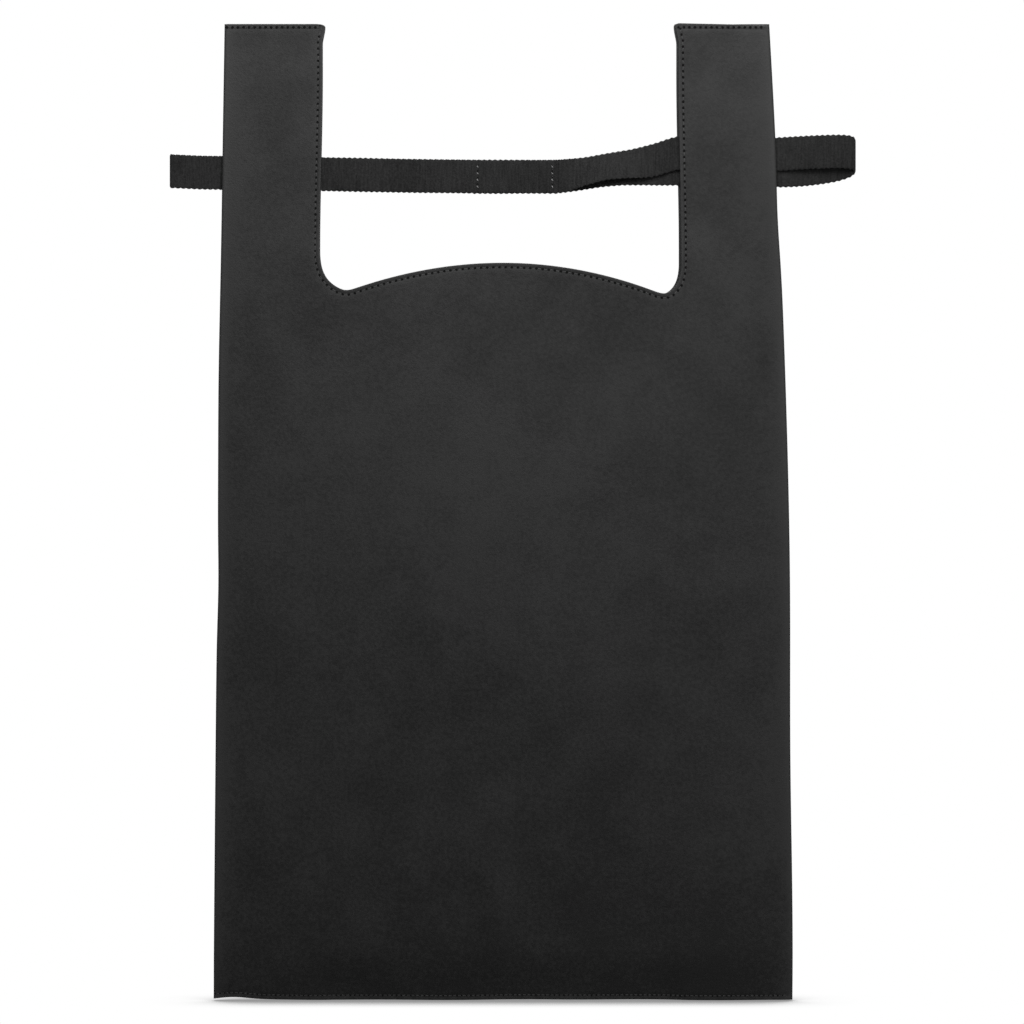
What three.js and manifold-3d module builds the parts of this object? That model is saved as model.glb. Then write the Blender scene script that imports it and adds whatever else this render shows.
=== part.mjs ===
// A vest-style carrier bag: two leather blanks sewn along the bottom and the gussets, with a
// closed ring of webbing threaded through its two handles. Millimetres, +Z up, the front faces -Y.
// The origin is where it hangs: midway between the two handle tops.
import * as THREE from "three";
import Module from "manifold-3d";
import { mergeVertices } from "three/addons/utils/BufferGeometryUtils.js";

// Driving dimensions. Heights are measured up from the bottom edge.
const BAG_HEIGHT = 588;
const BOTTOM_HALF_WIDTH = 174.5;
const MOUTH_HALF_WIDTH = 168.5;
const TOP_HALF_WIDTH = 165;
const HANDLE_WIDTH = 58.5;
const MOUTH_HEIGHT = 446;
const NECK_LOW_HEIGHT = 426.5;
const NECK_LOW_X = 95;
const ARCH_RISE = 17.5;
const FOLD_HEIGHT = 526;
const FOLD_ROOM = 5.5;

// Layers, counted outwards from the middle plane of the bag.
const LEATHER = 1.2;
const WEBBING = 1.4;
const WEBBING_WIDTH = 20;
const GAP = 0.3;
const WEBBING_ROOM = 2.2;
const LINING_Y = WEBBING_ROOM;
const PANEL_Y = LINING_Y + LEATHER + GAP;
const TIP_LINING_Y = GAP / 2;
const TIP_BAND_Y = TIP_LINING_Y + LEATHER + GAP;

// Sewing.
const THREAD_WIDTH = 0.6;
const THREAD_HEIGHT = 0.5;
const STITCH_INSET = 2.7;
const BOTTOM_SEAM_HEIGHT = 2.7;
const TOP_SEAM_DROP = 2;
const LIP_HEIGHT = 5;
const LIP_ROOM = 1;
const THREAD_FOLD_ROOM = 4;
const GUSSET_SEAM_TOP = 420;
const GUSSET_SEAM_BOTTOM = 8;
const FACING_DEPTH = 12;
const FACING = 0.8;

// Webbing ring, as it lies: its two folded ends stand out past the handles.
const STRAP_LEFT = -201;
const STRAP_RIGHT = 213;
const STRAP_HEIGHT = 496;
const STRAP_GAP = 0.5;
const JOIN_LEFT = -18;
const JOIN_RIGHT = 33;
const JOIN_SEAM_INSET = 3;

const wasm = await Module();
wasm.setup();

const leather = new THREE.MeshStandardMaterial({ color: 0x1c1c1c, roughness: 0.62, metalness: 0 });
const suede = new THREE.MeshStandardMaterial({ color: 0x232323, roughness: 0.9, metalness: 0 });
const webbing = new THREE.MeshStandardMaterial({ color: 0x161616, roughness: 0.85, metalness: 0 });
const thread = new THREE.MeshStandardMaterial({ color: 0x2c2c2c, roughness: 0.7, metalness: 0 });

const bag = new THREE.Group();
bag.position.z = -BAG_HEIGHT;

function add(name, geometry, material) {
  const mesh = new THREE.Mesh(geometry, material);
  mesh.name = name;
  bag.add(mesh);
}

// A box between two corners.
function block(x0, x1, y0, y1, z0, z1) {
  const box = new THREE.BoxGeometry(x1 - x0, y1 - y0, z1 - z0);
  box.translate((x0 + x1) / 2, (y0 + y1) / 2, (z0 + z1) / 2);
  return box;
}

// A flat sheet: an outline in X and height, from y = near to y = far.
function sheet(shape, near, far, steps = 20) {
  const flat = new THREE.ExtrudeGeometry(shape, {
    depth: far - near,
    bevelEnabled: false,
    curveSegments: steps,
  });
  flat.rotateX(Math.PI / 2);
  flat.translate(0, far, 0);
  return flat;
}

function toSolid(geometry) {
  const bare = geometry.index ? geometry.toNonIndexed() : geometry.clone();
  bare.deleteAttribute("normal");
  bare.deleteAttribute("uv");
  const merged = mergeVertices(bare, 1e-3);
  const mesh = new wasm.Mesh({
    numProp: 3,
    vertProperties: merged.attributes.position.array,
    triVerts: new Uint32Array(merged.index.array),
  });
  return new wasm.Manifold(mesh);
}

function toGeometry(solid) {
  const mesh = solid.getMesh();
  const geometry = new THREE.BufferGeometry();
  geometry.setAttribute("position", new THREE.BufferAttribute(mesh.vertProperties, mesh.numProp));
  geometry.setIndex(new THREE.BufferAttribute(mesh.triVerts, 1));
  return geometry;
}

// Half the width of the bag at a height: it narrows a little towards the handles.
function halfWidth(height) {
  if (height < MOUTH_HEIGHT) {
    return THREE.MathUtils.lerp(BOTTOM_HALF_WIDTH, MOUTH_HALF_WIDTH, height / MOUTH_HEIGHT);
  }
  const up = (height - MOUTH_HEIGHT) / (BAG_HEIGHT - MOUTH_HEIGHT);
  return THREE.MathUtils.lerp(MOUTH_HALF_WIDTH, TOP_HALF_WIDTH, up);
}

function handleInnerX(height) {
  return halfWidth(height) - HANDLE_WIDTH;
}

// Traces the neck edge from the left handle to the right one, moved into the leather by an inset:
// a rounded corner, a shallow arch, and the other corner.
function traceNeck(path, inset) {
  const side = handleInnerX(MOUTH_HEIGHT) + inset;
  const low = NECK_LOW_HEIGHT - inset;
  const arch = low + 2 * ARCH_RISE;
  path.lineTo(-side, MOUTH_HEIGHT);
  path.quadraticCurveTo(-side, low, -NECK_LOW_X, low);
  path.quadraticCurveTo(0, arch, NECK_LOW_X, low);
  path.quadraticCurveTo(side, low, side, MOUTH_HEIGHT);
}

// One panel: the sheet, and the lip that turns in towards the other panel's at the bottom seam.
function panel(front) {
  const outline = new THREE.Shape();
  outline.moveTo(BOTTOM_HALF_WIDTH, 0);
  outline.lineTo(-BOTTOM_HALF_WIDTH, 0);
  outline.lineTo(-MOUTH_HALF_WIDTH, MOUTH_HEIGHT);
  traceNeck(outline, 0);
  outline.lineTo(MOUTH_HALF_WIDTH, MOUTH_HEIGHT);
  const near = front ? -PANEL_Y - LEATHER : PANEL_Y;
  const face = sheet(outline, near, near + LEATHER);
  const lipHalf = handleInnerX(0) - GAP * 4;
  const lip = front
    ? block(-lipHalf, lipHalf, -PANEL_Y - LEATHER / 2, -LIP_ROOM, 0, LIP_HEIGHT)
    : block(-lipHalf, lipHalf, LIP_ROOM, PANEL_Y + LEATHER / 2, 0, LIP_HEIGHT);
  return toGeometry(toSolid(face).add(toSolid(lip)));
}

// A strip that follows the neck edge between two insets.
function neckStrip(inner, outer, near, far) {
  const strip = new THREE.Shape();
  const side = handleInnerX(MOUTH_HEIGHT);
  strip.moveTo(-side - inner, MOUTH_HEIGHT);
  traceNeck(strip, inner);
  strip.lineTo(side + outer, MOUTH_HEIGHT);
  const low = NECK_LOW_HEIGHT - outer;
  strip.quadraticCurveTo(side + outer, low, NECK_LOW_X, low);
  strip.quadraticCurveTo(0, low + 2 * ARCH_RISE, -NECK_LOW_X, low);
  strip.quadraticCurveTo(-side - outer, low, -side - outer, MOUTH_HEIGHT);
  return sheet(strip, near, far);
}

// The facing inside the arch, between the two corners of the neck.
function neckFacing(near, far) {
  const facing = new THREE.Shape();
  const low = NECK_LOW_HEIGHT - GAP;
  facing.moveTo(-NECK_LOW_X, low);
  facing.quadraticCurveTo(0, low + 2 * ARCH_RISE, NECK_LOW_X, low);
  facing.lineTo(NECK_LOW_X, low - FACING_DEPTH);
  facing.quadraticCurveTo(0, low - FACING_DEPTH + 2 * ARCH_RISE, -NECK_LOW_X, low - FACING_DEPTH);
  return sheet(facing, near, far);
}

// A handle band between two heights, left (side -1) or right (side 1).
function band(side, low, high, near, far) {
  const outline = new THREE.Shape();
  outline.moveTo(side * halfWidth(low), low);
  outline.lineTo(side * halfWidth(high), high);
  outline.lineTo(side * handleInnerX(high), high);
  outline.lineTo(side * handleInnerX(low), low);
  return sheet(outline, near, far);
}

// A thread row along a handle's inner edge.
function edgeThread(side, low, high, near, far) {
  const outline = new THREE.Shape();
  const start = handleInnerX(low) + STITCH_INSET;
  const end = handleInnerX(high) + STITCH_INSET;
  outline.moveTo(side * (start - THREAD_WIDTH / 2), low);
  outline.lineTo(side * (start + THREAD_WIDTH / 2), low);
  outline.lineTo(side * (end + THREAD_WIDTH / 2), high);
  outline.lineTo(side * (end - THREAD_WIDTH / 2), high);
  return sheet(outline, near, far);
}

// Mirrors a depth range: the front of the bag is on the -Y side.
function depth(face, inner, thickness) {
  return face === "front" ? [-inner - thickness, -inner] : [inner, inner + thickness];
}

// Panels, their neck facings and the thread along each neck.
for (const face of ["front", "back"]) {
  add(`${face}_panel`, panel(face === "front"), leather);
  add(`${face}_neck_facing`, neckFacing(...depth(face, PANEL_Y - GAP - FACING, FACING)), suede);
  const row = depth(face, PANEL_Y + LEATHER + GAP, THREAD_HEIGHT);
  const half = THREAD_WIDTH / 2;
  add(`${face}_neck_thread`, neckStrip(STITCH_INSET - half, STITCH_INSET + half, ...row), thread);
}

// Gusset halves: the outer edges of each blank folded back inside, sewn to each other down the middle.
for (const [name, side] of [["left", -1], ["right", 1]]) {
  for (const face of ["front", "back"]) {
    const layer = depth(face, LINING_Y, LEATHER);
    const half = new THREE.Shape();
    const top = MOUTH_HEIGHT - GAP;
    half.moveTo(side * (halfWidth(0) - GAP), 0);
    half.lineTo(side * (halfWidth(top) - GAP), top);
    half.lineTo(side * handleInnerX(top), top);
    half.lineTo(side * handleInnerX(0), 0);
    add(`${name}_${face}_gusset`, sheet(half, ...layer), leather);
  }
  const seam = new THREE.Shape();
  const from = handleInnerX(GUSSET_SEAM_BOTTOM) + STITCH_INSET;
  const to = handleInnerX(GUSSET_SEAM_TOP) + STITCH_INSET;
  seam.moveTo(side * from, GUSSET_SEAM_BOTTOM);
  seam.lineTo(side * (from + THREAD_WIDTH), GUSSET_SEAM_BOTTOM);
  seam.lineTo(side * (to + THREAD_WIDTH), GUSSET_SEAM_TOP);
  seam.lineTo(side * to, GUSSET_SEAM_TOP);
  const room = WEBBING_ROOM - GAP;
  add(`${name}_gusset_thread`, sheet(seam, -room, room), thread);
}

// The bottom seam's thread, between the lips that it holds together.
const bottomHalf = BOTTOM_HALF_WIDTH - STITCH_INSET;
const seamRoom = LIP_ROOM - GAP;
const seamLow = BOTTOM_SEAM_HEIGHT - THREAD_WIDTH / 2;
add(
  "bottom_seam_thread",
  block(-bottomHalf, bottomHalf, -seamRoom, seamRoom, seamLow, seamLow + THREAD_WIDTH),
  thread,
);

// Handles: below the fold each band stands clear of the webbing, above it the bands lie together.
const ROOT_TOP = FOLD_HEIGHT - FOLD_ROOM;
const TIP_BOTTOM = FOLD_HEIGHT + FOLD_ROOM;
for (const [name, side] of [["left", -1], ["right", 1]]) {
  for (const face of ["front", "back"]) {
    const rootLow = MOUTH_HEIGHT + GAP;
    const root = `${name}_${face}_handle_root`;
    const tip = `${name}_${face}_handle_tip`;
    add(root, band(side, rootLow, ROOT_TOP, ...depth(face, PANEL_Y, LEATHER)), leather);
    add(`${root}_lining`, band(side, rootLow, ROOT_TOP, ...depth(face, LINING_Y, LEATHER)), leather);
    add(tip, band(side, TIP_BOTTOM, BAG_HEIGHT, ...depth(face, TIP_BAND_Y, LEATHER)), leather);
    add(
      `${tip}_lining`,
      band(side, TIP_BOTTOM, BAG_HEIGHT - GAP, ...depth(face, TIP_LINING_Y, LEATHER)),
      leather,
    );
    const rootRow = depth(face, PANEL_Y + LEATHER + GAP, THREAD_HEIGHT);
    const tipRow = depth(face, TIP_BAND_Y + LEATHER + GAP, THREAD_HEIGHT);
    const tipTop = BAG_HEIGHT - TOP_SEAM_DROP - THREAD_WIDTH;
    const rootEnd = ROOT_TOP - THREAD_FOLD_ROOM;
    const tipStart = TIP_BOTTOM + THREAD_FOLD_ROOM;
    add(`${root}_thread`, edgeThread(side, rootLow + GAP, rootEnd, ...rootRow), thread);
    add(`${tip}_thread`, edgeThread(side, tipStart, tipTop, ...tipRow), thread);
  }
  const height = BAG_HEIGHT - TOP_SEAM_DROP;
  const outer = side * (halfWidth(height) - STITCH_INSET / 2);
  const inner = side * (handleInnerX(height) + STITCH_INSET / 2);
  const [near, far] = depth("front", TIP_BAND_Y + LEATHER + GAP, THREAD_HEIGHT);
  const half = THREAD_WIDTH / 2;
  add(
    `${name}_handle_top_thread`,
    block(Math.min(outer, inner), Math.max(outer, inner), near, far, height - half, height + half),
    thread,
  );
}

// How far the webbing's lower edge lies above or below its level run, along X. Its right end is
// lifted, and the front run leaves the back run between the handles.
function strapLift(x, y) {
  const smooth = THREE.MathUtils.smoothstep;
  const leftEnd = 4 * (1 - smooth(x, STRAP_LEFT, STRAP_LEFT + 90));
  const frontRun = 12 * smooth(x, 36, 106);
  const backRun = 4 * smooth(x, 36, 75) + 8 * smooth(x, 155, STRAP_RIGHT);
  const towardsFront = 1 - smooth(y, -WEBBING / 2, WEBBING / 2);
  return leftEnd + THREE.MathUtils.lerp(backRun, frontRun, towardsFront);
}

// The ring: one strip that goes once round and overlaps its own start between the two seams.
function strapRing() {
  const inner = STRAP_GAP / 2;
  const outer = inner + WEBBING;
  const lap = outer + GAP;
  const strip = new THREE.Shape();
  strip.moveTo(JOIN_LEFT, -inner);
  strip.lineTo(JOIN_LEFT, -outer);
  strip.lineTo(JOIN_RIGHT + WEBBING, -outer);
  const points = 60;
  for (let i = 1; i <= points; i += 1) {
    strip.lineTo(THREE.MathUtils.lerp(JOIN_RIGHT + WEBBING, STRAP_RIGHT - outer, i / points), -outer);
  }
  strip.absarc(STRAP_RIGHT - outer, 0, outer, -Math.PI / 2, Math.PI / 2, false);
  for (let i = 1; i <= 2 * points; i += 1) {
    strip.lineTo(THREE.MathUtils.lerp(STRAP_RIGHT - outer, STRAP_LEFT + outer, i / points / 2), outer);
  }
  strip.absarc(STRAP_LEFT + outer, 0, outer, Math.PI / 2, 1.5 * Math.PI, false);
  strip.lineTo(JOIN_LEFT - 2 * WEBBING, -outer);
  strip.lineTo(JOIN_LEFT - WEBBING, -lap - WEBBING);
  strip.lineTo(JOIN_RIGHT, -lap - WEBBING);
  strip.lineTo(JOIN_RIGHT, -lap);
  strip.lineTo(JOIN_LEFT - GAP, -lap);
  strip.lineTo(JOIN_LEFT - GAP - WEBBING / 2, -inner);
  strip.lineTo(STRAP_LEFT + outer, -inner);
  strip.absarc(STRAP_LEFT + outer, 0, inner, 1.5 * Math.PI, Math.PI / 2, true);
  for (let i = 1; i <= 2 * points; i += 1) {
    strip.lineTo(THREE.MathUtils.lerp(STRAP_LEFT + outer, STRAP_RIGHT - outer, i / points / 2), inner);
  }
  strip.absarc(STRAP_RIGHT - outer, 0, inner, Math.PI / 2, -Math.PI / 2, true);
  for (let i = 1; i <= points; i += 1) {
    strip.lineTo(THREE.MathUtils.lerp(STRAP_RIGHT - outer, JOIN_RIGHT + WEBBING, i / points), -inner);
  }
  const ring = new THREE.ExtrudeGeometry(strip, {
    depth: WEBBING_WIDTH,
    bevelEnabled: false,
    curveSegments: 8,
  });
  const position = ring.getAttribute("position");
  for (let i = 0; i < position.count; i += 1) {
    const lift = strapLift(position.getX(i), position.getY(i));
    position.setZ(i, position.getZ(i) + STRAP_HEIGHT - WEBBING_WIDTH / 2 + lift);
  }
  return ring;
}
add("strap_webbing", strapRing(), webbing);

// The two rows that close the ring.
const joinFace = -(STRAP_GAP / 2 + 2 * WEBBING + 2 * GAP);
for (const [name, x] of [["left", JOIN_LEFT + JOIN_SEAM_INSET], ["right", JOIN_RIGHT - JOIN_SEAM_INSET]]) {
  const reach = WEBBING_WIDTH / 2 - 1;
  add(
    `strap_join_${name}_thread`,
    block(
      x - THREAD_WIDTH / 2,
      x + THREAD_WIDTH / 2,
      joinFace - THREAD_HEIGHT,
      joinFace,
      STRAP_HEIGHT - reach,
      STRAP_HEIGHT + reach,
    ),
    thread,
  );
}

export default bag;
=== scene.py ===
import math

import bmesh
import bpy
import numpy as np
from mathutils import Matrix, Vector, noise
from mathutils.geometry import delaunay_2d_cdt


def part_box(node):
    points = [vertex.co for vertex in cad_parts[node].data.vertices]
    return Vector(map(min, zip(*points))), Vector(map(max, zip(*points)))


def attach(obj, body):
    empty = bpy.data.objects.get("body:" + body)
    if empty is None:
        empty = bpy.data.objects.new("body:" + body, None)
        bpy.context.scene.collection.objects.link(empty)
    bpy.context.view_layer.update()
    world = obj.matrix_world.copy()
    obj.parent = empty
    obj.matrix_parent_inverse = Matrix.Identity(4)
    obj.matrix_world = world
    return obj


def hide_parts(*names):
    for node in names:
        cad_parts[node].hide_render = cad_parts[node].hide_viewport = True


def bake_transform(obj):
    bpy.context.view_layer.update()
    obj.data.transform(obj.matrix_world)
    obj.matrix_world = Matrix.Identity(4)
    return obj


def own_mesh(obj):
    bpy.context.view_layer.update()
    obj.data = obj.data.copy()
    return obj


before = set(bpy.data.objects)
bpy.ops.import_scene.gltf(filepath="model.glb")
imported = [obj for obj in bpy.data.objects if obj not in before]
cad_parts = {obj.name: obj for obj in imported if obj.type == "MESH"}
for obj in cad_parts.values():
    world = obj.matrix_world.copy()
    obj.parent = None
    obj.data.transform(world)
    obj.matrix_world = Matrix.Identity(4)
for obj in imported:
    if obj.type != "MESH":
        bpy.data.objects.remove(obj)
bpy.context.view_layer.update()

# The studio: a pale floor, a white room round it, and two large soft lamps before the bag and two
# behind. The upper lamps are nearer, so the leather darkens from its handles to its bottom edge.
MM = 0.001
bottom_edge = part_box("front_panel")[0].z
scene = bpy.context.scene
scene.view_settings.view_transform = "Standard"
scene.view_settings.look = "None"

view_centre = Vector((5.4 * MM, 0, bottom_edge + 294 * MM))
view_width = 616.4 * MM
camera_distance = 3.2
camera_data = bpy.data.cameras.new("camera")
camera_data.sensor_width = 36
camera_data.lens = camera_data.sensor_width * camera_distance / view_width
camera = bpy.data.objects.new("camera", camera_data)
camera.location = view_centre + Vector((0, -camera_distance - 5 * MM, 0))
camera.rotation_euler = (math.radians(90), 0, 0)
scene.collection.objects.link(camera)
scene.camera = camera

ROOM_GLOW = 0.05
room = bpy.data.worlds.new("room")
room.use_nodes = True
room_light = room.node_tree.nodes["Background"]
room_light.inputs["Color"].default_value = (1, 1, 1, 1)
seen = room.node_tree.nodes.new("ShaderNodeLightPath").outputs["Is Camera Ray"]
strength = room.node_tree.nodes.new("ShaderNodeMapRange")
strength.inputs["To Min"].default_value = ROOM_GLOW
room.node_tree.links.new(seen, strength.inputs["Value"])
room.node_tree.links.new(strength.outputs[0], room_light.inputs["Strength"])
scene.world = room


def lamp(name, place, target, size, power):
    data = bpy.data.lights.new(name, "AREA")
    data.shape = "DISK"
    data.size = size
    data.energy = power
    light = bpy.data.objects.new(name, data)
    light.location = place
    light.rotation_euler = (Vector(target) - Vector(place)).to_track_quat("-Z", "Y").to_euler()
    scene.collection.objects.link(light)


for side, y in (("front", -1), ("rear", 1)):
    lamp(f"{side}_key_lamp", (0, y * 0.62, 0.42), (0, 0, -0.12), size=0.6, power=7.4)
    lamp(f"{side}_fill_lamp", (0.7, y * 1.2, -0.05), (0.1, 0, -0.35), size=0.8, power=3.6)


class Wire:
    """A shader socket that can be used in sums."""

    def __init__(self, tree, socket):
        self.tree = tree
        self.socket = socket

    def node(self, kind, settings=(), sockets=(), out=0):
        made = self.tree.nodes.new(kind)
        for key, value in dict(settings).items():
            setattr(made, key, value)
        for key, value in dict(sockets).items():
            if isinstance(value, Wire):
                self.tree.links.new(value.socket, made.inputs[key])
            else:
                made.inputs[key].default_value = value
        return Wire(self.tree, made.outputs[out])

    def math(self, operation, *values):
        return self.node("ShaderNodeMath", {"operation": operation}, dict(enumerate(values)))

    def __add__(self, other):
        return self.math("ADD", self, other)

    def __sub__(self, other):
        return self.math("SUBTRACT", self, other)

    def __rsub__(self, other):
        return self.math("SUBTRACT", other, self)

    def __mul__(self, other):
        return self.math("MULTIPLY", self, other)

    __radd__ = __add__
    __rmul__ = __mul__

    def fit(self, low, high, to_low=0.0, to_high=1.0):
        """Maps low..high to to_low..to_high with a soft start and end."""
        ends = {"From Min": low, "From Max": high, "To Min": to_low, "To Max": to_high}
        settings = {"interpolation_type": "SMOOTHSTEP"}
        return self.node("ShaderNodeMapRange", settings, {"Value": self, **ends})

    def noise(self, scale, detail=2.0, roughness=0.5, stretch=(1, 1, 1), turn=(0, 0, 0)):
        laid = self.node("ShaderNodeMapping", (), {"Vector": self, "Rotation": turn, "Scale": stretch})
        sockets = {"Vector": laid, "Scale": scale, "Detail": detail, "Roughness": roughness}
        return self.node("ShaderNodeTexNoise", (), sockets)

    def mix(self, share, first, second):
        """A colour between two others."""
        sockets = {0: share, 6: first, 7: second}
        return self.node("ShaderNodeMix", {"data_type": "RGBA"}, sockets, out=2)


def grey(value):
    return (value, value, value, 1)


def start_shader(name):
    shader = bpy.data.materials.new(name)
    shader.use_nodes = True
    tree = shader.node_tree
    surface = tree.nodes["Principled BSDF"]
    place = tree.nodes.new("ShaderNodeTexCoord").outputs["Object"]
    return shader, surface, Wire(tree, place)


def plug(surface, socket, wire):
    wire.tree.links.new(wire.socket, surface.inputs[socket])


def floor_shader():
    """White to the camera, with a painted soft shadow close under the bag; other rays see it matt
    grey.
    """
    shader, surface, place = start_shader("pale_floor")
    painted_contact_shadow = place.node("ShaderNodeAmbientOcclusion", (), {"Distance": 0.05}, out=1)
    speckle = place.noise(3.0, 3.0)
    plug(surface, "Roughness", speckle.fit(0.2, 0.8, 0.9, 1.0))
    surface.inputs["Base Color"].default_value = grey(0.35)
    surface.inputs["Specular IOR Level"].default_value = 0
    # Painted shadow: the floor's colour darkens to grey where the bag stands close above it.
    white_with_painted_shadow = place.mix(painted_contact_shadow.fit(0.45, 1.0), grey(0.3), grey(1.0))
    glow = place.node("ShaderNodeEmission", (), {"Color": white_with_painted_shadow})
    seen = place.node("ShaderNodeLightPath")
    matt = Wire(place.tree, surface.outputs[0])
    mixed = place.node("ShaderNodeMixShader", (), {0: seen, 1: matt, 2: glow})
    output = place.tree.nodes["Material Output"]
    place.tree.links.new(mixed.socket, output.inputs["Surface"])
    return shader


FLOOR_RADIUS = 8.0
FLOOR_GAP = 0.6 * MM
floor_bm = bmesh.new()
bmesh.ops.create_circle(floor_bm, cap_ends=True, segments=96, radius=FLOOR_RADIUS)
floor_mesh = bpy.data.meshes.new("floor")
floor_bm.to_mesh(floor_mesh)
floor_bm.free()
floor_mesh.transform(Matrix.Translation((0, 0, bottom_edge - FLOOR_GAP)))
floor_mesh.materials.append(floor_shader())
floor = bpy.data.objects.new("floor", floor_mesh)
scene.collection.objects.link(floor)

# The cut of a leather blank, laid flat, in millimetres: the two outer folds, the two handle bands and
# the arched neck between them. Both blanks are cut alike; the rear one shows a little to the left of
# the front one along the right handle.
LEATHER = 1.2
BAG_HEIGHT = -bottom_edge / MM
tip_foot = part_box("left_front_handle_tip")[0].z
root_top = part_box("left_front_handle_root")[1].z
FOLD_HEIGHT = (tip_foot + root_top) / 2 / MM + BAG_HEIGHT
FOLD_REACH = 7
CUT_HEIGHT = FOLD_HEIGHT - FOLD_REACH
NECK_TOP = 450
LEFT_INNER = -110.4
RIGHT_INNER = {"front": 107.3, "back": 106.1}
HANDLE_TAPER = {"left": 1.7, "right": 1.6}
TAPER_TOP = 560
GUSSET_TOP = 424
EAR = 1.6
EAR_FOOT = 577
EAR_RISE = 8
STEP = 2.4


def smooth(low, high, value):
    """0 below low, 1 above high, and a soft step between."""
    t = np.clip((np.asarray(value, float) - low) / (high - low), 0, 1)
    return t * t * (3 - 2 * t)


def swell(at, middle, spread, height):
    return height * np.exp(-(((at - middle) / spread) ** 2))


def left_fold(z):
    """Where the left outer fold lies at a height above the bottom edge."""
    dents = swell(z, 250, 28, 0.7) + swell(z, 375, 60, -0.6)
    return -174.4 + 0.0073 * z + 6.7e-6 * z * z + dents


def right_fold(z):
    dents = swell(z, 150, 90, -1.6) + swell(z, 472, 30, -0.9)
    return 174.5 + 0.0095 * z - 5.69e-5 * z * z + dents


def widening(z, side):
    """A handle band widens a little on its way up, and stands out in a small ear at the top seam."""
    ear = EAR * np.clip((z - EAR_FOOT) / EAR_RISE, 0, 1)
    return HANDLE_TAPER[side] * smooth(NECK_TOP, TAPER_TOP, z) + ear


def left_edge(z):
    return LEFT_INNER + widening(z, "left")


def right_edge(z, face):
    return RIGHT_INNER[face] - widening(z, "right")


def bottom_line(x):
    """The bottom edge waves a little, and its left corner sits higher."""
    ripple = 0.15 * np.sin(x / 31) + 0.12 * np.sin(x / 12.5 + 1)
    return ripple + 0.1 + swell(x, -163, 13, 1.5)


def bezier(p0, p1, p2, p3, count):
    """Points along a cubic curve."""
    t = np.linspace(0, 1, count)[:, None]
    parts = ((1 - t) ** 3, 3 * t * (1 - t) ** 2, 3 * t * t * (1 - t), t**3)
    return sum(np.array(p) * w for p, w in zip((p0, p1, p2, p3), parts))


def neck_line(face):
    """The neck edge from the right handle to the left one, with its two low points rounded."""
    right, left = RIGHT_INNER[face], LEFT_INNER
    low_right, low_left = (right - 11.1, 425), (left + 16.2, 426.8)
    corner_right = bezier((right, 443), (right, 434.5), (right - 2.8, 426.6), low_right, 24)
    arch = bezier(low_right, (33, 450.2), (-30.6, 449.8), low_left, 110)
    corner_left = bezier(low_left, (left + 5.5, 430.5), (left, 437), (left, NECK_TOP), 24)
    line = np.vstack((corner_right, arch[1:-1], corner_left))
    for _ in range(6):
        line[1:-1] = (line[:-2] + 2 * line[1:-1] + line[2:]) / 4
    return line


def resample(points, step):
    """The same line with its points a step apart."""
    points = np.asarray(points, float)
    run = np.concatenate(([0], np.cumsum(np.linalg.norm(np.diff(points, axis=0), axis=1))))
    places = np.linspace(0, run[-1], max(2, round(run[-1] / step) + 1))
    return np.column_stack([np.interp(places, run, points[:, k]) for k in range(2)])


def inner_line(face):
    """The raw edge: down the right handle, along the neck and up the left handle."""
    corner = 1.6
    up = np.linspace(NECK_TOP, BAG_HEIGHT - corner, 60)
    right = np.column_stack((right_edge(up, face), up))[::-1]
    left = np.column_stack((left_edge(up), up))
    turn = np.linspace(0, math.pi / 2, 6)[1:]
    round_x, round_z = corner * (1 - np.cos(turn)), BAG_HEIGHT - corner * (1 - np.sin(turn))
    right_top = np.column_stack((right[0, 0] + round_x, round_z + 0.5))[::-1]
    left_top = np.column_stack((left[-1, 0] - round_x * 3.5, round_z))
    line = np.vstack((right_top, right, neck_line(face), left[1:], left_top))
    return resample(line, STEP / 2)


def blank_outline(face):
    """The blank's edge, anticlockwise from the bottom left, and which points lie on a fold."""
    heights = np.linspace(0, BAG_HEIGHT, 70)
    xs = np.linspace(left_fold(0), right_fold(0), 120)
    bottom = resample(np.column_stack((xs, bottom_line(xs))), STEP)
    lowered = heights * (1 - 0.7 / BAG_HEIGHT)
    right = resample(np.column_stack((right_fold(heights), lowered)), STEP)
    left = resample(np.column_stack((left_fold(heights), heights))[::-1], STEP)
    left[-1] = bottom[0]
    right[0] = bottom[-1]
    inner = inner_line(face)
    top_right = resample(np.array((right[-1], inner[0])), STEP)
    top_left = resample(np.array((inner[-1], left[0])), STEP)
    runs = (bottom, right, top_right, inner, top_left, left)
    points = np.vstack([run[:-1] for run in runs])
    folded = [np.full(len(run) - 1, run is right or run is left) for run in runs]
    return points, np.concatenate(folded)


def nearest(points, line_start, line_end):
    """Each point's distance to the nearest of some straight pieces of edge."""
    best = np.full(len(points), 1e9)
    along = line_end - line_start
    length = np.maximum((along**2).sum(1), 1e-9)
    batch = 500
    for i in range(0, len(points), batch):
        part = points[i : i + batch]
        t = np.clip(((part[:, None] - line_start) * along).sum(2) / length, 0, 1)
        foot = line_start + t[..., None] * along
        best[i : i + batch] = np.linalg.norm(part[:, None] - foot, axis=2).min(1)
    return best


# How the layers lie. Each half of the bag is a panel over its folded-back gusset: pressed together
# at the bottom seam and the handle tops, and slack between, where the leather waves and bellies.
SLACK_DEPTH = 4.9
PRESSED_DOUBLE = 2.85
PRESSED_SINGLE = 1.35
BELLY = 5.2
CREST = 1.35
RAW_ROUND = 0.35
GROOVE = 0.28
GROOVE_WIDTH = 0.85
SEAM_INSET = 2.7
UPRIGHT_FOLDS = ((-6, 0.03, 8, 1.1), (38, 0.12, 10, 1.0), (-88, -0.08, 11, 1.0), (104, 0.05, 11, 0.8))


def slackness(z):
    return smooth(0, 30, z) * (1 - smooth(510, 590, z))


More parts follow.
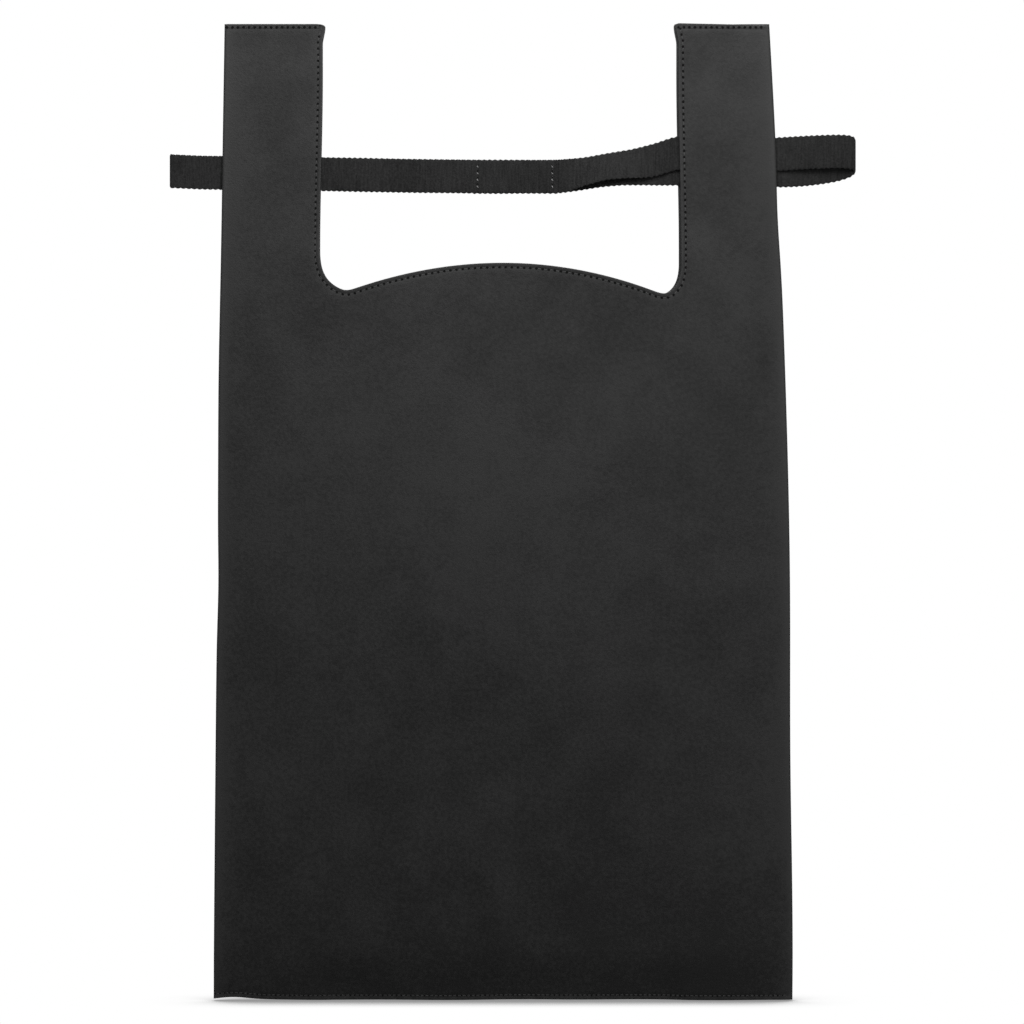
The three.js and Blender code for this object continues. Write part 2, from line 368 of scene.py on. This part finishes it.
def waves(x, z, face):
    """Soft unevenness of the hide, and the upright folds that rise from the bottom seam."""
    seed = 3.7 if face == "front" else 21.3
    broad = np.array([noise.noise((a / 95, b / 130, seed)) for a, b in zip(x, z)])
    fine = np.array([noise.noise((a / 38, b / 46, seed + 9)) for a, b in zip(x, z)])
    low = smooth(6, 30, z) * (1 - smooth(60, 150, z))
    creases = sum(
        height * np.exp(-(((x - place - lean * z) / width) ** 2))
        for place, lean, width, height in UPRIGHT_FOLDS
    )
    return 1.5 * broad + 0.45 * fine + creases * low


def panel_depth(x, z, face):
    """How far a panel's outer face lies from the bag's middle plane."""
    single = (1 - smooth(99, 113, np.abs(x))) * (1 - smooth(300, 301, z))
    pressed = PRESSED_DOUBLE + (PRESSED_SINGLE - PRESSED_DOUBLE) * single
    depth = pressed + (SLACK_DEPTH - pressed) * slackness(z)
    half = np.where(x < 0, -left_fold(z), right_fold(z))
    across = np.clip(1 - (x / half) ** 2, 0, 1)
    body = smooth(0, 260, z) * (1 - 0.6 * smooth(260, 440, z)) * (1 - smooth(444, 470, z))
    belly = BELLY * body * across
    slack = np.clip(across * 3, 0, 1) * smooth(2, 40, z) * (1 - 0.7 * smooth(440, 470, z))
    pucker = 0.13 * np.sin(x / 1.45) * np.exp(-np.abs(z - SEAM_INSET) / 6)
    return depth + belly + waves(x, z, face) * slack + pucker


def edge_shape(to_fold, to_raw):
    """How far the outer face falls back near a fold's crest, a raw edge and a row of stitches."""
    fold = np.clip(CREST - to_fold, 0, CREST)
    raw = np.clip(RAW_ROUND - to_raw, 0, RAW_ROUND)
    drop = CREST - np.sqrt(CREST**2 - fold**2) + RAW_ROUND - np.sqrt(RAW_ROUND**2 - raw**2)
    return drop + GROOVE * np.exp(-(((to_raw - SEAM_INSET) / GROOVE_WIDTH) ** 2))


def blank_surface(face):
    """The outer face of a whole blank: close rows of points along its edge, a grid inside."""
    outline, folded = blank_outline(face)
    ahead, behind = np.roll(outline, -1, 0), np.roll(outline, 1, 0)
    along = (ahead - outline) / np.linalg.norm(ahead - outline, axis=1)[:, None]
    before = (outline - behind) / np.linalg.norm(outline - behind, axis=1)[:, None]
    inward = np.column_stack((-along[:, 1] - before[:, 1], along[:, 0] + before[:, 0]))
    inward /= ((inward**2).sum(1) / 2)[:, None]
    insets = (0.12, 0.35, 0.7, 1.35, 2.0, 2.7, 3.4, 4.6, 6.6)
    rings = np.vstack([outline + inward * inset for inset in insets])
    wanted = np.repeat(insets, len(outline))
    starts, ends = outline, ahead
    kept = rings[nearest(rings, starts, ends) > 0.97 * wanted]
    xs, zs = np.meshgrid(np.arange(-172, 174, 5.0), np.arange(5, BAG_HEIGHT, 5.0))
    grid = np.column_stack((xs.ravel(), zs.ravel()))
    inside = np.zeros(len(grid), bool)
    for (x0, z0), (x1, z1) in zip(starts, ends):
        if z0 != z1:
            crosses = (grid[:, 1] > min(z0, z1)) & (grid[:, 1] <= max(z0, z1))
            at = x0 + (grid[:, 1] - z0) * (x1 - x0) / (z1 - z0)
            inside ^= crosses & (grid[:, 0] < at)
    grid = grid[inside]
    grid = grid[nearest(grid, starts, ends) > insets[-1] + 2]
    cloud = np.vstack((outline, kept, grid))
    border = list(range(len(outline)))
    flat, _, faces, *_ = delaunay_2d_cdt([Vector(p) for p in cloud], [], [border], 1, 1e-4)
    flat = np.array([tuple(p) for p in flat])
    x, z = flat[:, 0], flat[:, 1]
    to_fold = nearest(flat, starts[folded], ends[folded])
    to_raw = nearest(flat, starts[~folded], ends[~folded])
    y = edge_shape(to_fold, to_raw) - panel_depth(x, z, face)
    bm = bmesh.new()
    wear_and_painted_light = bm.verts.layers.float.new("wear_and_painted_light")
    made = [bm.verts.new(p) for p in np.column_stack((x, y, z))]
    # Painted highlight in the colour: paler along the folds and in the band between the raw edge and
    # the stitch row; the cut edge itself paler as burnished edge and painted highlight.
    rub_and_painted_light_amount = 1.7 * np.exp(-to_fold / 6) + 0.4 * (1 - smooth(1.5, 2.2, to_raw))
    rub_and_painted_light_amount = rub_and_painted_light_amount + 0.9 * np.exp(-to_raw / 0.4)
    # A painted pool of light across the middle of the panel, and painted shade darkening the bottom.
    painted_light_pool = 0.5 * np.exp(-(((x - 30) / 110) ** 2) - ((z - 280) / 100) ** 2)
    rub_and_painted_light_amount += painted_light_pool - 0.5 * (1 - smooth(0, 130, z))
    for v, amount in zip(made, rub_and_painted_light_amount):
        v[wear_and_painted_light] = amount
    for corners in faces:
        bm.faces.new([made[i] for i in corners])
    bmesh.ops.recalc_face_normals(bm, faces=bm.faces)
    if sum(f.normal.y * f.calc_area() for f in bm.faces) > 0:
        bmesh.ops.reverse_faces(bm, faces=bm.faces)
    return bm


def turn_to(bm, face):
    """A part is made for the front; for the back it is mirrored in the middle plane."""
    if face == "back":
        bmesh.ops.scale(bm, vec=(1, -1, 1), verts=bm.verts)
        bmesh.ops.reverse_faces(bm, faces=bm.faces)


def slice_off(bm, height, keep):
    bmesh.ops.bisect_plane(
        bm,
        geom=bm.verts[:] + bm.edges[:] + bm.faces[:],
        plane_co=(0, 0, height),
        plane_no=(0, 0, 1),
        clear_outer=keep == "below",
        clear_inner=keep == "above",
    )


def thicken(bm, thickness):
    """Gives a sheet its thickness behind the face that shows."""
    bmesh.ops.solidify(bm, geom=bm.faces[:], thickness=thickness)
    bmesh.ops.recalc_face_normals(bm, faces=bm.faces)


# The leather: matt black, coated on its grain side, with a cloudy tone, a fine pebble and handling
# marks. Its colour is painted paler along its folds and beside its stitch rows (painted highlight),
# paler at its cut edges (burnished edge and painted highlight), paler in a painted pool of light
# across the middle, and darker at the bottom of the bag (painted shade).
def leather_shader(name, tone, flesh=False):
    shader, surface, place = start_shader(name)
    cloud = place.noise(6.0, 4.0, 0.6).fit(0.25, 0.75)
    mottle = place.noise(34.0, 3.0, 0.65).fit(0.25, 0.75)
    speck = place.noise(480.0, 3.0, 0.7).fit(0.32, 0.7)
    slanted = place.noise(24.0, 5.0, 0.75, (1, 1, 6), (0, math.radians(52), 0))
    scuffs = slanted.fit(0.66, 0.8) * place.noise(9.0, 2.0).fit(0.52, 0.64)
    # The attribute read here is painted light: painted highlight, a painted pool of light and painted
    # shade, with some burnished edge.
    wear_and_painted_light = place.node("ShaderNodeAttribute", {"attribute_name": "wear_and_painted_light"}, out=2)
    level = cloud * 0.7 + mottle * 0.42 + speck * 0.7 + scuffs * 0.5 + wear_and_painted_light * 0.75 - 0.38
    hide = place.mix(level, grey(tone * 0.55), grey(tone * 1.6))
    plug(surface, "Base Color", place.mix(wear_and_painted_light.fit(0.4, 2.4), hide, grey(tone * 2.8)))
    rough = mottle * -0.05 + speck * 0.06 - scuffs * 0.08 + (0.85 if flesh else 0.62)
    plug(surface, "Roughness", rough)
    cells = {"Vector": place, "Scale": 900.0}
    pebble = place.node("ShaderNodeTexVoronoi", {"feature": "F1"}, cells)
    creases = place.noise(330.0, 4.0, 0.7)
    relief = pebble * 0.4 + creases * 0.9 + place.noise(90.0, 2.0) * 0.6
    bump = {"Height": relief, "Strength": 0.5, "Distance": 0.0003}
    plug(surface, "Normal", place.node("ShaderNodeBump", (), bump))
    surface.inputs["Specular IOR Level"].default_value = 0.12 if flesh else 0.3
    surface.inputs["Sheen Weight"].default_value = 0.03
    surface.inputs["Sheen Roughness"].default_value = 0.5
    return shader


leather = leather_shader("black_leather", 0.015)

# The front and back of the bag: each a whole blank's face, from the bottom seam to just below the
# line where the handles fold over.
MOUTH_BEND = (428, CUT_HEIGHT)
HANDLE_BEND = (CUT_HEIGHT, FOLD_HEIGHT + FOLD_REACH)


def new_piece(name, bm, shader, sharp=35):
    """Turns a finished bmesh, in millimetres from the bottom edge, into a shaded piece."""
    placed = Matrix.Translation((0, 0, bottom_edge)) @ Matrix.Scale(MM, 4)
    bmesh.ops.transform(bm, matrix=placed, verts=bm.verts)
    mesh = bpy.data.meshes.new(name)
    bm.to_mesh(mesh)
    bm.free()
    mesh.shade_smooth()
    mesh.set_sharp_from_angle(angle=math.radians(sharp))
    mesh.materials.append(shader)
    piece = bpy.data.objects.new(name, mesh)
    scene.collection.objects.link(piece)
    return piece


def bend(piece, heights):
    """Bakes the piece's placement into its mesh; the heights are not used."""
    low, high = (Vector((0, 0, bottom_edge + height * MM)) for height in heights)
    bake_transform(piece)


def halve(bm, side):
    """Leaves only the part on one side of the bag."""
    wrong = [v for v in bm.verts if (v.co.x > 0) == (side == "left")]
    bmesh.ops.delete(bm, geom=wrong, context="VERTS")


for face in ("front", "back"):
    whole = blank_surface(face)
    turn_to(whole, face)
    tips = {side: whole.copy() for side in ("left", "right")}
    slice_off(whole, CUT_HEIGHT, "below")
    thicken(whole, LEATHER)
    body = new_piece(f"{face}_blank", whole, leather)
    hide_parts(f"{face}_panel", f"left_{face}_handle_root", f"right_{face}_handle_root")
    bend(body, MOUTH_BEND)
    # The top of each handle, past the fold line; both faces are sewn together at its upper end.
    for side, tip in tips.items():
        slice_off(tip, CUT_HEIGHT, "above")
        halve(tip, side)
        thicken(tip, LEATHER)
        piece = new_piece(f"{side}_{face}_handle_top", tip, leather)
        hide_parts(f"{side}_{face}_handle_tip")
        bend(piece, HANDLE_BEND)

# The blank's side edges, folded back inside: below the mouth each is half a gusset, sewn to the
# other half along its inner edge; above, it is the lining of a handle band.
LEAF_ARC = 7
LEAF_INNER = 18
CORNER_DROP = 1.9


def draped(columns, rows, place, weave=None):
    """A grid whose point in column i and row j goes to place(i, j), with weave(i, j) as its UV."""
    across, up = columns - 1, rows - 1
    bm = bmesh.new()
    bmesh.ops.create_grid(bm, x_segments=across, y_segments=up, size=0.5)
    spots = {v: (round((v.co.x + 0.5) * across), round((v.co.y + 0.5) * up)) for v in bm.verts}
    if weave:
        layer = bm.loops.layers.uv.new("weave")
        for polygon in bm.faces:
            for corner in polygon.loops:
                corner[layer].uv = weave(*spots[corner.vert])
    for v, spot in spots.items():
        v.co = place(*spot)
    bm.normal_update()
    return bm


def face_along(bm, direction):
    """Turns a sheet's outer side towards a direction."""
    if sum(f.normal.dot(direction) * f.calc_area() for f in bm.faces) < 0:
        bmesh.ops.reverse_faces(bm, faces=bm.faces)


def leaf(side, face, low, high):
    """The folded-back layer from its crest to its inner edge, for the front."""
    heights = np.linspace(low, high, max(4, round((high - low) / 5)))
    sign = -1 if side == "left" else 1
    crest_x = left_fold(heights) if side == "left" else right_fold(heights)
    inner_x = left_edge(heights) if side == "left" else right_edge(heights, face)
    points = np.zeros((LEAF_ARC + LEAF_INNER, len(heights), 3))
    for i in range(LEAF_ARC + LEAF_INNER):
        turn = math.pi / 2 * min(i / (LEAF_ARC - 1), 1)
        share = 1 - (1 - max(0, i - LEAF_ARC + 1) / LEAF_INNER) ** 1.4
        x = crest_x - sign * CREST * (1 - math.cos(turn))
        x = x + (inner_x - x) * share
        depth = panel_depth(x, heights, face) - CREST - CREST * math.sin(turn)
        if low < GUSSET_TOP:
            closing = smooth(0.1, 0.92, share) * (1 - smooth(395, GUSSET_TOP, heights))
            depth = depth + (np.minimum(0.03, depth) - depth) * closing
        points[i, :, 0] = x
        points[i, :, 1] = -depth
        points[i, :, 2] = heights + (bottom_line(x) if low == 0 else 0) * (heights < 1)
        points[i, :, 2] -= CORNER_DROP * share**3 * smooth(582, BAG_HEIGHT, heights)
    bm = draped(LEAF_ARC + LEAF_INNER, len(heights), lambda i, j: points[i, j])
    face_along(bm, Vector((sign * 0.2, 1, 0)))
    # Painted highlight: the lining is paler close to its inner edge, where the layers in front of it
    # shade it.
    wear_and_painted_light = bm.verts.layers.float.new("wear_and_painted_light")
    for v in bm.verts:
        inner = left_edge(v.co.z) if side == "left" else right_edge(v.co.z, face)
        v[wear_and_painted_light] = 0.9 * (1 - smooth(1.2, 3.5, abs(v.co.x - inner)))
    turn_to(bm, face)
    thicken(bm, LEATHER)
    return bm


for side in ("left", "right"):
    for face in ("front", "back"):
        sheet = leaf(side, face, 0, GUSSET_TOP)
        gusset = new_piece(f"{side}_{face}_gusset_fold", sheet, leather)
        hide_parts(f"{side}_{face}_gusset")
        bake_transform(gusset)
        sheet = leaf(side, face, GUSSET_TOP, CUT_HEIGHT)
        root = new_piece(f"{side}_{face}_root_fold", sheet, leather)
        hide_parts(f"{side}_{face}_handle_root_lining")
        bend(root, MOUTH_BEND)
        sheet = leaf(side, face, CUT_HEIGHT, BAG_HEIGHT)
        tip = new_piece(f"{side}_{face}_tip_fold", sheet, leather)
        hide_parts(f"{side}_{face}_handle_tip_lining")
        bend(tip, HANDLE_BEND)

# The neck facings: a strip of thinner leather inside each arch, flesh side out, held by the row of
# stitches that runs along the mouth.
FACING = 0.8
FACING_DEPTH = 12
FACING_INSET = 0.3
FACING_ROWS = 6
LAYER_GAP = 0.3
flesh_side = leather_shader("leather_flesh_side", 0.02, flesh=True)
for face in ("front", "back"):
    line = neck_line(face)
    line = resample(line[np.abs(line[:, 0]) < 97], 3.0)
    along = np.gradient(line, axis=0)
    along /= np.linalg.norm(along, axis=1)[:, None]
    down = np.column_stack((-along[:, 1], along[:, 0]))

    def facing_point(i, j):
        drop = FACING_INSET + (FACING_DEPTH - FACING_INSET) * j / (FACING_ROWS - 1)
        x, z = line[i] + down[i] * drop
        depth = panel_depth(np.array([x]), np.array([z]), face)[0]
        return x, LEATHER + LAYER_GAP + FACING - depth, z

    strip = draped(len(line), FACING_ROWS, facing_point)
    face_along(strip, Vector((0, 1, 0)))
    turn_to(strip, face)
    thicken(strip, FACING)
    facing = new_piece(f"{face}_neck_strip", strip, flesh_side)
    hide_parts(f"{face}_neck_facing")
    bend(facing, MOUTH_BEND)

# The sewing: black waxed thread in a fine groove. Each stitch is a small taut grain of thread that
# dips into a needle hole at both ends.
# Each needle hole is a near-black disc: painted shade.
PITCH = 3.7
STITCH_WIDTH = 0.75
STITCH_HEIGHT = 0.28
HOLE = 0.9
HOLE_HEIGHT = 0.16
OUTWARD = {"front": -1, "back": 1}
chance = np.random.default_rng(7)


def thread_shader(name, tone, hole_shade_tone):
    shader, surface, place = start_shader(name)
    # Painted shade: the needle-hole discs are near-black, standing in for the shade inside the holes.
    hole = place.node("ShaderNodeAttribute", {"attribute_name": "hole_shade"}, out=2)
    twist = place.noise(2600.0, 2.0, 0.5, (1, 1, 0.35), (0, math.radians(35), 0))
    fibre = place.mix(twist.fit(0.3, 0.7), grey(tone * 0.6), grey(tone * 1.4))
    plug(surface, "Base Color", place.mix(hole, fibre, grey(hole_shade_tone)))
    plug(surface, "Roughness", twist * 0.2 + hole * 0.3 + 0.5)
    bump = {"Height": twist, "Strength": 0.4, "Distance": 0.0001}
    plug(surface, "Normal", place.node("ShaderNodeBump", (), bump))
    surface.inputs["Specular IOR Level"].default_value = 0.25
    return shader


black_thread = thread_shader("black_thread", 0.045, 0.0006)


def grain(rings, hole):
    """One stitch, or one needle hole's near-black disc of painted shade, about the origin."""
    bm = bmesh.new()
    mark = bm.verts.layers.float.new("hole_shade")
    bmesh.ops.create_uvsphere(bm, u_segments=6, v_segments=rings, radius=1)
    for v in bm.verts:
        v[mark] = hole
    mesh = bpy.data.meshes.new("grain")
    bm.to_mesh(mesh)
    bm.free()
    return mesh


stitch_grain = grain(4, 0)
hole_shade_grain = grain(3, 1)


def sew(bm, centres, alongs, normal, pitch, width=STITCH_WIDTH, slant=0.0, hole=HOLE):
    """Adds a stitch at each place, and before it a needle hole, drawn as a near-black disc of painted
    shade.
    """
    up = Vector(normal)
    for centre, along in zip(centres, alongs):
        along = Vector(along).normalized()
        across = along.cross(up).normalized()
        lay = Matrix.Rotation(slant + chance.normal(0, 0.05), 3, up)
        axes = (lay @ across * width / 2, lay @ up * STITCH_HEIGHT, lay @ along * pitch * 0.44)
        shapes = [(stitch_grain, axes, Vector(centre))]
        if hole:
            axes = (across * hole, up * HOLE_HEIGHT, along * hole)
            middle = Vector(centre) - along * pitch / 2 + up * HOLE_HEIGHT
            shapes.append((hole_shade_grain, axes, middle))
        for grain_mesh, axes, middle in shapes:
            one = grain_mesh.copy()
            turned = Matrix(axes).transposed().to_4x4()
            turned.translation = middle
            one.transform(turned)
            bm.from_mesh(one)
            bpy.data.meshes.remove(one)


def stitch_places(line, inset, pitch):
    """The places of stitches on a row that runs inside an edge, and their directions."""
    along = np.gradient(line, axis=0)
    along /= np.linalg.norm(along, axis=1)[:, None]
    row = line + np.column_stack((-along[:, 1], along[:, 0])) * inset
    run = np.concatenate(([0], np.cumsum(np.linalg.norm(np.diff(row, axis=0), axis=1))))
    places = np.arange(pitch, run[-1] - pitch / 2, pitch)
    spots = np.column_stack([np.interp(places, run, row[:, k]) for k in range(2)])
    ahead = np.column_stack([np.interp(places + 0.5, run, row[:, k]) for k in range(2)])
    return spots, ahead - spots


def on_face(spots, face, sunk):
    """Places on the outer face of a blank, as points in space."""
    depth = panel_depth(spots[:, 0], spots[:, 1], face) - sunk
    return [(x, OUTWARD[face] * d, z) for (x, z), d in zip(spots, depth)]


for face in ("front", "back"):
    normal = (0, OUTWARD[face], 0)
    spots, steps = stitch_places(inner_line(face), SEAM_INSET, PITCH)
    centres = on_face(spots, face, GROOVE)
    alongs = [(a, 0, b) for a, b in steps]
    groups = {"edge": spots[:, 1] <= CUT_HEIGHT}
    for side in ("left", "right"):
        groups[side] = (spots[:, 1] > CUT_HEIGHT) & ((spots[:, 0] < 0) == (side == "left"))
    for group, chosen in groups.items():
        row = bmesh.new()
        picked = np.flatnonzero(chosen)
        sew(row, [centres[i] for i in picked], [alongs[i] for i in picked], normal, PITCH)
        if group == "edge":
            stitches = new_piece(f"{face}_edge_stitches", row, black_thread, 60)
            roots = [f"{side}_{face}_handle_root_thread" for side in ("left", "right")]
            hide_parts(f"{face}_neck_thread", *roots)
            bend(stitches, MOUTH_BEND)
        else:
            stitches = new_piece(f"{group}_{face}_tip_stitches", row, black_thread, 60)
            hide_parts(f"{group}_{face}_handle_tip_thread")
            bend(stitches, HANDLE_BEND)

# The seams that close the handle tops and the bottom, sewn through every layer, and the two gusset
# seams inside the bag.
TOP_SEAM_DROP = 2.0
TOP_PITCH = PITCH * 0.9
BOTTOM_PITCH = 2.8
BOTTOM_STITCH = 0.7
BOTTOM_HOLE = 0.5
for side in ("left", "right"):
    rows = bmesh.new()
    for face in ("front", "back"):
        height = BAG_HEIGHT - TOP_SEAM_DROP
        if side == "left":
            start, end = left_fold(height), left_edge(height)
        else:
            start, end = right_edge(height, face), right_fold(height)
        xs = np.arange(start + 3.2, end - 1.6, TOP_PITCH)
        centres = on_face(np.column_stack((xs, np.full(len(xs), height))), face, 0.05)
        sew(rows, centres, [(1, 0, 0)] * len(xs), (0, OUTWARD[face], 0), TOP_PITCH)
    seam = new_piece(f"{side}_top_stitches", rows, black_thread, 60)
    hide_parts(f"{side}_handle_top_thread")
    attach(seam, f"{side}_handle")

rows = bmesh.new()
for face in ("front", "back"):
    xs = np.arange(left_fold(0) + 2.5, right_fold(0) - 2, BOTTOM_PITCH)
    centres = on_face(np.column_stack((xs, SEAM_INSET + bottom_line(xs))), face, GROOVE)
    normal = (0, OUTWARD[face], 0)
    sew(rows, centres, [(1, 0, 0)] * len(xs), normal, BOTTOM_PITCH, BOTTOM_STITCH, hole=BOTTOM_HOLE)
seam = new_piece("bottom_stitches", rows, black_thread, 60)
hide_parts("bottom_seam_thread")
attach(seam, "core")

GUSSET_SEAM_INSET = 2.8
left_seam = LEFT_INNER - GUSSET_SEAM_INSET
right_seam = RIGHT_INNER["front"] + GUSSET_SEAM_INSET
for side, x in (("left", left_seam), ("right", right_seam)):
    rows = bmesh.new()
    heights = np.arange(10, GUSSET_TOP - 32, PITCH)
    for out in (-1, 1):
        centres = [(x, out * (LEATHER + 0.32), z) for z in heights]
        sew(rows, centres, [(0, 0, 1)] * len(heights), (0, out, 0), PITCH)
    seam = new_piece(f"{side}_gusset_stitches", rows, black_thread, 60)
    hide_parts(f"{side}_gusset_thread")
    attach(seam, "core")

# The carrying strap: one length of ribbed cotton webbing, 20 mm wide, threaded twice through both
# handle loops and lapped on itself in front. It lies flattened, with an open loop at its right end,
# and its front run lifts and leans forward on its way into the right handle.
WEBBING = 1.4
WEBBING_WIDTH = 20
PICOT_PITCH = 3.25
RIB_PITCH = 1.1
WEB_STEP = 0.5
LAP = (-18, 33)
WEB_ROUTE = (
    # x, y, height of the centre line, lean of the lower edge towards the front
    (-18, -1.05, 495.9, 0),
    (20, -1.05, 495.9, 0),
    (33, -1.1, 496, 0),
    (37, -2.2, 496.4, 5),
    (42, -3.3, 497.4, 20),
    (50, -4.4, 499.2, 31),
    (62, -5.2, 501.8, 36),
    (77, -4.9, 503.5, 30),
    (85, -3.4, 504.7, 18),
    (92, -1.7, 506.2, 5),
    (98, -1.15, 508.4, 0),
    (105, -1.05, 510.5, 0),
    (135, -1.0, 509.9, 0),
    (166, -1.05, 509.6, 0),
    (178, -1.25, 510.3, 0),
    (190, -1.6, 511, 0),
    (202, -1.8, 511.4, 0),
    (209, -1.6, 511.1, 0),
    (212.6, -0.7, 510.3, 0),
    (213.5, 0.8, 509, 0),
    (212.6, 2.3, 507.4, 0),
    (209, 3.1, 505.6, 0),
    (202, 3.2, 503.4, 0),
    (192, 2.9, 501.7, 0),
    (180, 2.2, 500.4, 0),
    (171, 1.3, 499.9, 0),
    (165, 1.0, 499.8, 0),
    (106, 1.0, 500.9, 0),
    (96, 0.9, 501, 1),
    (87, -0.6, 500.8, 13),
    (72, -1.7, 499.9, 25),
    (58, -1.2, 498.7, 24),
    (44, 0.2, 497.2, 12),
    (34, 1.0, 496.3, 0),
    (0, 1.05, 496, 0),
    (-62, 1.05, 496.7, 0),
    (-107, 1.0, 497.6, 0),
    (-182, 1.0, 498.6, 0),
    (-199.3, 1.0, 499.4, 0),
    (-199.85, 0.84, 499.45, 0),
    (-200.2, 0.46, 499.5, 0),
    (-200.3, 0, 499.5, 0),
    (-200.2, -0.46, 499.5, 0),
    (-199.85, -0.84, 499.45, 0),
    (-199.3, -1.0, 499.4, 0),
    (-182, -1.0, 498.6, 0),
    (-107, -1.0, 497.6, 0),
    (-62, -1.0, 496.7, 0),
    (-34, -1.4, 496.2, 0),
    (-22, -2.5, 496, 0),
    (-12, -2.62, 496, 0),
    (33, -2.62, 496, 0),
)


def web_line():
    """The strap's centre line at even steps, eased, with the direction of its width."""
    route = np.array(WEB_ROUTE, float)
    run = np.concatenate(([0], np.cumsum(np.linalg.norm(np.diff(route[:, :2], axis=0), axis=1))))
    even = np.linspace(0, run[-1], round(run[-1] / WEB_STEP))
    path = np.column_stack([np.interp(even, run, route[:, k]) for k in range(4)])
    creased = smooth(-180, -196, path[:, 0])[:, None]  # the left end is a pressed crease
    for _ in range(60):
        eased = path.copy()
        eased[1:-1] = (path[:-2] + 2 * path[1:-1] + path[2:]) / 4
        path = eased + (path - eased) * creased
    along = np.gradient(path[:, :3], axis=0)
    along /= np.linalg.norm(along, axis=1)[:, None]
    lean = np.radians(path[:, 3])
    across = np.column_stack((np.zeros(len(path)), np.sin(lean), np.cos(lean)))
    return even, path[:, :3], along, across


web_run, web_path, web_along, web_across = web_line()
web_out = np.cross(web_across, web_along)
web_out /= np.linalg.norm(web_out, axis=1)[:, None]
HALF_SECTION = (-1, -0.985, -0.95, -0.9, -0.8, -0.5, -0.2, 0.2, 0.5, 0.8, 0.9, 0.95, 0.985, 1)
PICOT = 0.27
WEB_SECTION = [(v, 1) for v in HALF_SECTION] + [(v, -1) for v in HALF_SECTION[::-1]]


def web_point(i, j):
    """A point of the closed section, with small weft loops along both edges."""
    v, face = WEB_SECTION[j % len(WEB_SECTION)]
    edge = smooth(0.9, 1, abs(v))
    phase = 2 * math.pi * web_run[i] / PICOT_PITCH + (0 if v < 0 else 1.7)
    picot = PICOT * edge * math.sin(phase)
    sway = 0.25 * noise.noise((web_run[i] / 30, v * 0.2, 4.4))
    selvedge = 0.1 * swell(abs(v), 0.93, 0.02, 1)
    half_width = v * WEBBING_WIDTH / 2 + picot * np.sign(v) + sway
    half_depth = WEBBING / 2 - 0.35 * edge**2 - selvedge
    return web_path[i] + web_across[i] * half_width + web_out[i] * face * half_depth


def webbing_shader():
    shader, surface, place = start_shader("black_webbing")
    uv = place.node("ShaderNodeTexCoord", out=2)
    split = uv.node("ShaderNodeSeparateXYZ", (), {0: uv})
    length, width = split, Wire(uv.tree, split.socket.node.outputs[1])
    rib = (length * (2 * math.pi / RIB_PITCH)).math("SINE") * 0.5 + 0.5
    cord = (length * (2 * math.pi / PICOT_PITCH)).math("SINE") * 0.5 + 0.5
    streak = uv.noise(0.9, 3.0, 0.7, (1, 0.07, 1)).fit(0.3, 0.7)
    rolled = width.math("ABSOLUTE").fit(8.6, 9.4, 0, 1)
    slanting = width * (2 * math.pi / 0.9) + (length * (math.pi / RIB_PITCH))
    weft = slanting.math("SINE") * 0.5 + 0.5
    dust = place.noise(900.0, 3.0, 0.65).fit(0.3, 0.75)
    broad = place.noise(22.0, 3.0, 0.6).fit(0.3, 0.7)
    level = rib * 0.3 + cord * 0.3 + streak * 0.35 + weft * 0.2 + dust * 0.5 + broad * 0.2 - 0.55
    level = level + rolled * 0.45
    plug(surface, "Base Color", place.mix(level, grey(0.003), grey(0.031)))
    plug(surface, "Roughness", dust * 0.15 + 0.78)
    relief = rib * 0.6 + cord * 0.6 + weft * 0.3 + dust * 0.3
    bump = {"Height": relief, "Strength": 0.9, "Distance": 0.0004}
    plug(surface, "Normal", place.node("ShaderNodeBump", (), bump))
    surface.inputs["Specular IOR Level"].default_value = 0.12
    surface.inputs["Sheen Weight"].default_value = 0.06
    surface.inputs["Sheen Roughness"].default_value = 0.6
    return shader


def flatten(piece):
    """Gives the piece its own copy of its mesh."""
    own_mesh(piece)


web = draped(
    len(web_run),
    len(WEB_SECTION) + 1,
    web_point,
    lambda i, j: (web_run[i], WEB_SECTION[j % len(WEB_SECTION)][0] * WEBBING_WIDTH / 2),
)
bmesh.ops.remove_doubles(web, verts=web.verts, dist=0.001)
bmesh.ops.holes_fill(web, edges=[e for e in web.edges if e.is_boundary], sides=0)
bmesh.ops.recalc_face_normals(web, faces=web.faces)
strap = new_piece("carrying_strap", web, webbing_shader(), 50)
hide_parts("strap_webbing")
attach(strap, "strap")
flatten(strap)

# The two short rows of waxed grey thread that close the strap's lap, sewn by machine through both
# layers: four slanted stitches each, with the needle holes between them.
# Their needle holes are near-black discs too: painted shade.
grey_thread = thread_shader("grey_thread", 0.2, 0.002)
JOIN_PITCH = 4.0
LAP_HEIGHT = 495.9
for side, x in (("left", LAP[0] + 2.7), ("right", LAP[1] - 3.3)):
    rows = bmesh.new()
    heights = LAP_HEIGHT + (np.arange(4) - 1.5) * JOIN_PITCH
    up, ahead = [(0, 0, 1)] * len(heights), (0, -1, 0)
    threads = [(x, -3.36, z) for z in heights]
    holes = [(x, -3.42, z + JOIN_PITCH / 2) for z in heights[:-1]]
    sew(rows, threads, up, ahead, pitch=1.9, width=0.8, slant=0.6, hole=0)
    sew(rows, holes, up, ahead, pitch=0.6, width=0.3, hole=0.5)
    closing = new_piece(f"strap_{side}_stitches", rows, grey_thread, 60)
    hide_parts(f"strap_join_{side}_thread")
    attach(closing, "strap")
    flatten(closing)
